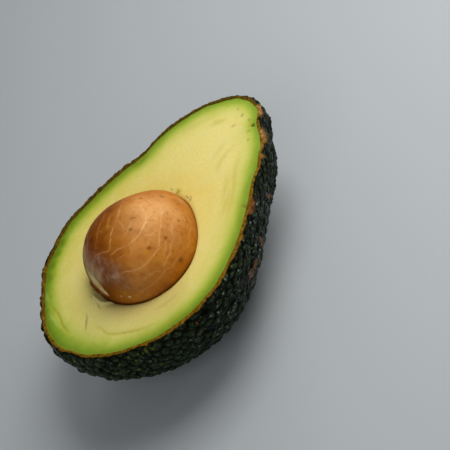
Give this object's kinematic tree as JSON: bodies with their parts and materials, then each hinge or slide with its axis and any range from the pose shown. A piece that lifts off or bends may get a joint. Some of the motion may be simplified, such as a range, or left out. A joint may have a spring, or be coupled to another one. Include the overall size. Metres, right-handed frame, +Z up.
{
  "type": "avocado half",
  "caption": "Half of a ripe avocado with pebbled dark skin, pale green flesh and its seed in the cavity, lying on its back with the cut face up.",
  "frame": {"origin": "bottom centre of the bounding box, on the surface the half rests on", "axes": "+X along the fruit to its stem end, +Z up, the way the cut face looks"},
  "size_m": [0.0948, 0.071, 0.0499],
  "materials": {
    "skin": "green-black pebbled peel with soft gloss, ochre on its cut edge",
    "flesh": "moist pale yellow flesh that turns bright green at the skin",
    "seed": "satin orange-brown seed coat with pale branching veins"
  },
  "bodies": {
    "root": {"skin": "skin", "flesh": "flesh", "seed": "seed"}
  },
  "joints": []
}
